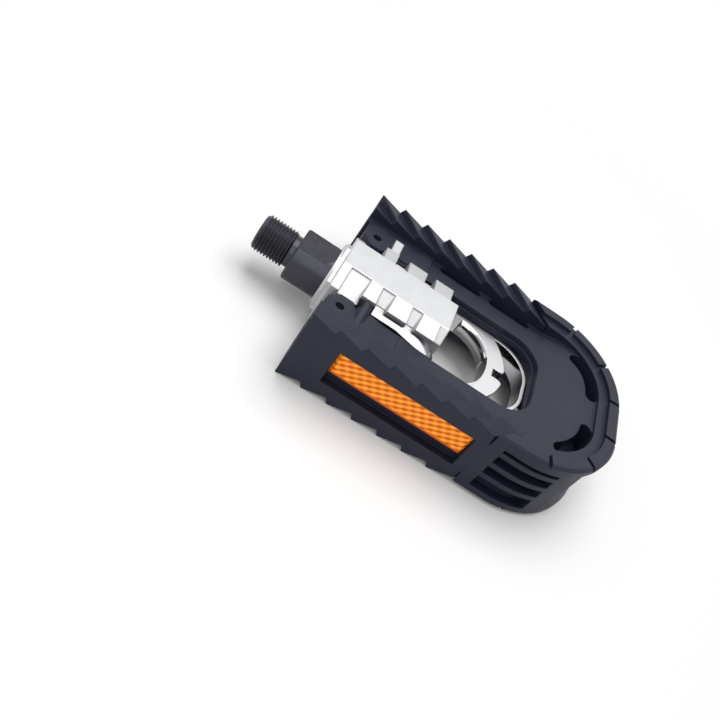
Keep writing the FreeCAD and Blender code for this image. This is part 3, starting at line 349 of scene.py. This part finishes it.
def amber_lens():
    """Amber plastic with crossed ribs and a plain lower border, coloured with painted highlight
    and painted shade, that glows with painted light for the light a reflector throws back.
    """
    material = new_material("amber_lens", AMBER_COLOR, 0.0, AMBER_ROUGHNESS)
    tree = material.node_tree
    shader = shader_of(material)
    for name, value in AMBER_SHADER_AND_PAINTED_GLOW.items():
        shader.inputs[name].default_value = value
    ribs = lens_ribs(tree)
    ramp = amber_painted_light_ramp(tree)
    tree.links.new(ribs, ramp.inputs["Fac"])
    # The painted highlight and painted shade colour the surface and also its painted glow
    for name in ("Base Color", "Emission Color"):
        tree.links.new(ramp.outputs["Color"], shader.inputs[name])
    bump = add(tree, "ShaderNodeBump", {"Strength": RIB_STRENGTH, "Distance": RIB_DEPTH})
    tree.links.new(ribs, bump.inputs["Height"])
    tree.links.new(bump.outputs["Normal"], shader.inputs["Normal"])
    return material


MATERIALS = {slot: plain_material(slot) for slot in PLAIN_LOOKS}
MATERIALS["yoke_alloy"] = yoke_alloy()
MATERIALS["amber_lens"] = amber_lens()
shader_of(MATERIALS["cage_plastic"]).inputs["Specular IOR Level"].default_value = CAGE_SPECULAR


# Pieces

def paint(piece, slot):
    piece.data.materials.clear()
    piece.data.materials.append(MATERIALS[slot])


def copy_of(node, name):
    """Copy of a CAD node that a piece of the scene starts from."""
    copy = NODES[node].copy()
    copy.data = NODES[node].data.copy()
    copy.name = name
    for key in list(copy.keys()):
        del copy[key]
    bpy.context.scene.collection.objects.link(copy)
    return copy


def new_piece(mesh, name):
    data = bpy.data.meshes.new(name)
    mesh.to_mesh(data)
    mesh.free()
    piece = bpy.data.objects.new(name, data)
    bpy.context.scene.collection.objects.link(piece)
    return piece


for subpart in frame["record"]["subparts"]:
    paint(NODES[subpart["node"]], subpart["material_slot"])


# Spindle with a cut thread

def thread_radius(x, turn):
    """Radius of the thread at a place along it; turn is a share of a whole turn."""
    phase = (x / THREAD_PITCH - turn) % 1.0
    rise = abs(2.0 * phase - 1.0)
    flank = min(1.0, max(0.0, (rise - THREAD_FLAT) / THREAD_FLANK))
    radius = THREAD_CREST - THREAD_DEPTH * flank
    runout = THREAD_CREST - THREAD_CHAMFER + (x - THREAD_START)
    return min(radius, runout)


def thread_rows():
    length = THREAD_END - THREAD_START
    count = int(round(length / THREAD_PITCH * THREAD_ROWS))
    return [THREAD_START + length * row / count for row in range(count + 1)]


def add_thread(mesh):
    """Wall of points that follows the thread, in place of the plain cylinder."""
    rows = []
    for x in thread_rows():
        ring = []
        for step in range(THREAD_STEPS):
            turn = step / THREAD_STEPS
            radius = thread_radius(x, turn)
            angle = 2 * math.pi * turn
            ring.append(mesh.verts.new((x, radius * math.cos(angle), radius * math.sin(angle))))
        rows.append(ring)
    for low, high in zip(rows, rows[1:]):
        for step in range(THREAD_STEPS):
            after = (step + 1) % THREAD_STEPS
            mesh.faces.new((low[step], low[after], high[after], high[step])).smooth = True


def plain_thread_faces(mesh):
    """Outside faces of the plain cylinder and its chamfer."""
    found = []
    for face in mesh.faces:
        radii = [math.hypot(v.co.y, v.co.z) for v in face.verts]
        along = [v.co.x for v in face.verts]
        outside = min(radii) > THREAD_CREST - THREAD_CHAMFER - PLAIN_RADIUS_SLACK
        threaded = max(along) < THREAD_END + PLAIN_END_SLACK
        if outside and threaded and max(along) - min(along) > PLAIN_LEAST_LENGTH:
            found.append(face)
    return found


def threaded_spindle():
    copy = copy_of("spindle", "spindle_threaded")
    mesh = bmesh.new()
    mesh.from_mesh(copy.data)
    bmesh.ops.delete(mesh, geom=plain_thread_faces(mesh), context="FACES")
    add_thread(mesh)
    mesh.to_mesh(copy.data)
    mesh.free()
    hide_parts("spindle")
    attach(copy, "spindle")
    paint(copy, "black_steel")


threaded_spindle()


# Springs, copied from the CAD nodes and carried by the hub

def working_spring(node):
    spring = copy_of(node, node + "_working")
    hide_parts(node)
    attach(spring, "hub")
    paint(spring, "bright_steel")
    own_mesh(spring)


working_spring("latch_spring_left")
working_spring("latch_spring_right")


# Hinge screws

def screw_profile(top, bottom):
    """Radius and height from the tip of the shank down to the middle of the head."""
    seat = bottom + SCREW_HEAD_HEIGHT
    profile = [(0.0, top), (SCREW_SHANK, top), (SCREW_SHANK, seat), (SCREW_HEAD, seat)]
    dome = SCREW_HEAD_HEIGHT - SCREW_RIM
    for step in range(DOME_STEPS):
        angle = math.pi / 2 * step / DOME_STEPS
        height = seat - SCREW_RIM - dome * math.sin(angle)
        profile.append((SCREW_HEAD * math.cos(angle), height))
    return profile + [(0.0, bottom)]


def turned_mesh(profile, x, y):
    """Solid of revolution about an upright axis."""
    mesh = bmesh.new()
    points = [mesh.verts.new((x + radius, y, z)) for radius, z in profile]
    edges = [mesh.edges.new(pair) for pair in zip(points, points[1:])]
    bmesh.ops.spin(mesh, geom=points + edges, cent=(x, y, 0), axis=(0, 0, 1),
                   angle=2 * math.pi, steps=SCREW_STEPS)
    bmesh.ops.remove_doubles(mesh, verts=mesh.verts, dist=MERGE_DISTANCE)
    bmesh.ops.recalc_face_normals(mesh, faces=mesh.faces)
    return mesh


def slot_corners(half_length, half_width, turn):
    """Corners of a slot's outline about its middle."""
    corners = []
    for end, side in ((-1, -1), (1, -1), (1, 1), (-1, 1)):
        along, across = end * half_length, side * half_width
        corners.append((along * math.cos(turn) - across * math.sin(turn),
                        along * math.sin(turn) + across * math.cos(turn)))
    return corners


def recess_mesh(x, y, bottom, turn):
    """Tapered wedge that cuts one slot of the cross."""
    mesh = bmesh.new()
    rings = []
    for outline, z in ((RECESS_MOUTH, -RECESS_OVERLAP), (RECESS_FLOOR, RECESS_DEPTH)):
        corners = slot_corners(*outline, turn)
        rings.append([mesh.verts.new((x + dx, y + dy, bottom + z)) for dx, dy in corners])
    mouth, floor = rings
    mesh.faces.new(mouth)
    mesh.faces.new(floor)
    for corner in range(4):
        after = (corner + 1) % 4
        mesh.faces.new((mouth[corner], mouth[after], floor[after], floor[corner]))
    bmesh.ops.recalc_face_normals(mesh, faces=mesh.faces)
    return mesh


def cut_away(piece, mesh):
    """Takes a solid out of a piece."""
    cutter = new_piece(mesh, "cutter")
    step = piece.modifiers.new("cut", "BOOLEAN")
    step.operation = "DIFFERENCE"
    step.solver = "EXACT"
    step.object = cutter
    shown = piece.evaluated_get(bpy.context.evaluated_depsgraph_get())
    data = bpy.data.meshes.new_from_object(shown)
    piece.modifiers.clear()
    piece.data = data
    bpy.data.objects.remove(cutter)


def shade_smooth(piece):
    """Smooth curved faces with sharp edges between them."""
    mesh = bmesh.new()
    mesh.from_mesh(piece.data)
    for face in mesh.faces:
        face.smooth = True
    for edge in mesh.edges:
        edge.smooth = edge.calc_face_angle(0.0) < SHARP_ANGLE
    mesh.to_mesh(piece.data)
    mesh.free()


def cross_screw(node):
    low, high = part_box(node)
    x, y = (low.x + high.x) / 2, (low.y + high.y) / 2
    screw = new_piece(turned_mesh(screw_profile(high.z, low.z), x, y), node + "_cross")
    for quarter in (0.0, 90.0):
        turn = math.radians(RECESS_TURNS[node] + quarter)
        cut_away(screw, recess_mesh(x, y, low.z, turn))
    shade_smooth(screw)
    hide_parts(node)
    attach(screw, "cage")
    paint(screw, "bright_steel")


cross_screw("hinge_screw_left")
cross_screw("hinge_screw_right")


# Rounded corners of the yoke's window

def fillet_centre():
    y = WINDOW_SIDE - FILLET_STANDOUT - FILLET_RADIUS
    reach = WINDOW_ARC - FILLET_STANDOUT - FILLET_RADIUS
    return WINDOW_ARC_X + math.sqrt(reach * reach - y * y), y


def wall_distance(x, y, angle):
    """From the fillet's centre to a line a little behind the window's wall."""
    to_side = (WINDOW_SIDE + FILLET_ROOT - y) / math.sin(angle)
    ahead = (x - WINDOW_ARC_X) * math.cos(angle) + y * math.sin(angle)
    gap = (WINDOW_ARC + FILLET_ROOT) ** 2 - (x - WINDOW_ARC_X) ** 2 - y * y
    return min(to_side, math.sqrt(ahead * ahead + gap) - ahead)


def fillet_rows(side):
    """Points of the fillet's hollow face and its back, from the side wall to the curved end."""
    x, y = fillet_centre()
    last = math.atan2(y, x - WINDOW_ARC_X)
    rows = []
    for step in range(FILLET_STEPS + 1):
        angle = math.pi / 2 + (last - math.pi / 2) * step / FILLET_STEPS
        row = []
        for radius in (FILLET_RADIUS, wall_distance(x, y, angle)):
            row.append((x + radius * math.cos(angle), side * (y + radius * math.sin(angle))))
        rows.append(row)
    return rows


def add_fillet(mesh, side):
    rings = []
    for face, back in fillet_rows(side):
        corners = [(*face, -1), (*back, -1), (*back, 1), (*face, 1)]
        rings.append([mesh.verts.new((x, y, z * FILLET_HALF_HEIGHT)) for x, y, z in corners])
    for low, high in zip(rings, rings[1:]):
        for corner in range(4):
            after = (corner + 1) % 4
            wall = mesh.faces.new((low[corner], low[after], high[after], high[corner]))
            wall.smooth = corner == 3
    mesh.faces.new(rings[0])
    mesh.faces.new(rings[-1])


def window_fillets():
    mesh = bmesh.new()
    add_fillet(mesh, 1)
    add_fillet(mesh, -1)
    bmesh.ops.recalc_face_normals(mesh, faces=mesh.faces)
    piece = new_piece(mesh, "yoke_window_fillets")
    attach(piece, "latch")
    paint(piece, "yoke_alloy")


window_fillets()


# Floor, light and camera

def seen_rays(tree):
    """One for the rays that show the background: to the camera, in gloss and through glass."""
    path = tree.nodes.new("ShaderNodeLightPath")
    share = path.outputs["Is Camera Ray"]
    for name in ("Is Glossy Ray", "Is Transmission Ray"):
        share = calculate(tree, "MAXIMUM", share, path.outputs[name])
    return share


def mix_shaders(tree, share, first, second):
    mix = tree.nodes.new("ShaderNodeMixShader")
    tree.links.new(share, mix.inputs["Fac"])
    tree.links.new(first, mix.inputs[1])
    tree.links.new(second, mix.inputs[2])
    return mix.outputs["Shader"]


def fade_to_white(material):
    tree = material.node_tree
    away = tree.nodes.new("ShaderNodeVectorMath")
    away.operation = "LENGTH"
    tree.links.new(coordinate(tree, "Object"), away.inputs[0])
    span = rescale(tree, away.outputs["Value"], (FLOOR_NEAR, FLOOR_FAR), (0.0, 1.0))
    span.interpolation_type = "SMOOTHSTEP"
    share = calculate(tree, "MULTIPLY", span.outputs["Result"], seen_rays(tree))
    white = tree.nodes.new("ShaderNodeEmission")
    floor = shader_of(material).outputs["BSDF"]
    mixed = mix_shaders(tree, share, floor, white.outputs["Emission"])
    tree.links.new(mixed, tree.nodes["Material Output"].inputs["Surface"])


def make_floor():
    place = (FLOOR_X, 0.0, CAD_LOW.z - FLOOR_GAP)
    bpy.ops.mesh.primitive_plane_add(size=FLOOR_SIZE, location=place)
    floor = bpy.context.object
    floor.name = "floor"
    material = new_material("floor", FLOOR_COLOR, 0.0, FLOOR_ROUGHNESS)
    add_patches(material, *FLOOR_PATCHES)
    fade_to_white(material)
    floor.data.materials.append(material)


def make_world():
    """Soft fill light that is seen as plain white."""
    world = bpy.data.worlds.new("studio")
    bpy.context.scene.world = world
    world.use_nodes = True
    tree = world.node_tree
    tree.nodes.clear()
    fill = add(tree, "ShaderNodeBackground", {"Strength": FILL_STRENGTH})
    white = add(tree, "ShaderNodeBackground", {"Color": WHITE, "Strength": 1.0})
    mixed = mix_shaders(tree, seen_rays(tree), fill.outputs["Background"],
                        white.outputs["Background"])
    out = tree.nodes.new("ShaderNodeOutputWorld")
    tree.links.new(mixed, out.inputs["Surface"])


def make_light(name, place, power):
    data = bpy.data.lights.new(name, "AREA")
    data.size = LAMP_SIZE
    data.energy = power
    light = bpy.data.objects.new(name, data)
    light.location = place
    light.rotation_mode = "QUATERNION"
    aim = Vector(LAMP_TARGET) - Vector(place)
    light.rotation_quaternion = aim.to_track_quat("-Z", "Y")
    bpy.context.scene.collection.objects.link(light)


def make_camera():
    data = bpy.data.cameras.new("camera")
    data.sensor_width = SENSOR
    data.lens = FOCAL_PIXELS / IMAGE_SIZE * SENSOR
    data.shift_y = CENTRE_SHIFT_PIXELS / IMAGE_SIZE
    data.clip_start = CAMERA_CLIP
    camera = bpy.data.objects.new("camera", data)
    turn = Matrix((CAMERA_RIGHT, -CAMERA_DOWN, -CAMERA_AHEAD)).transposed().to_4x4()
    camera.matrix_world = Matrix.Translation(CAMERA_AT) @ turn
    bpy.context.scene.collection.objects.link(camera)
    bpy.context.scene.camera = camera


make_floor()
make_world()
make_light("overhead", OVERHEAD_PLACE, OVERHEAD_POWER)
make_light("side", SIDE_PLACE, SIDE_POWER)
make_camera()
bpy.context.scene.view_settings.view_transform = "Standard"
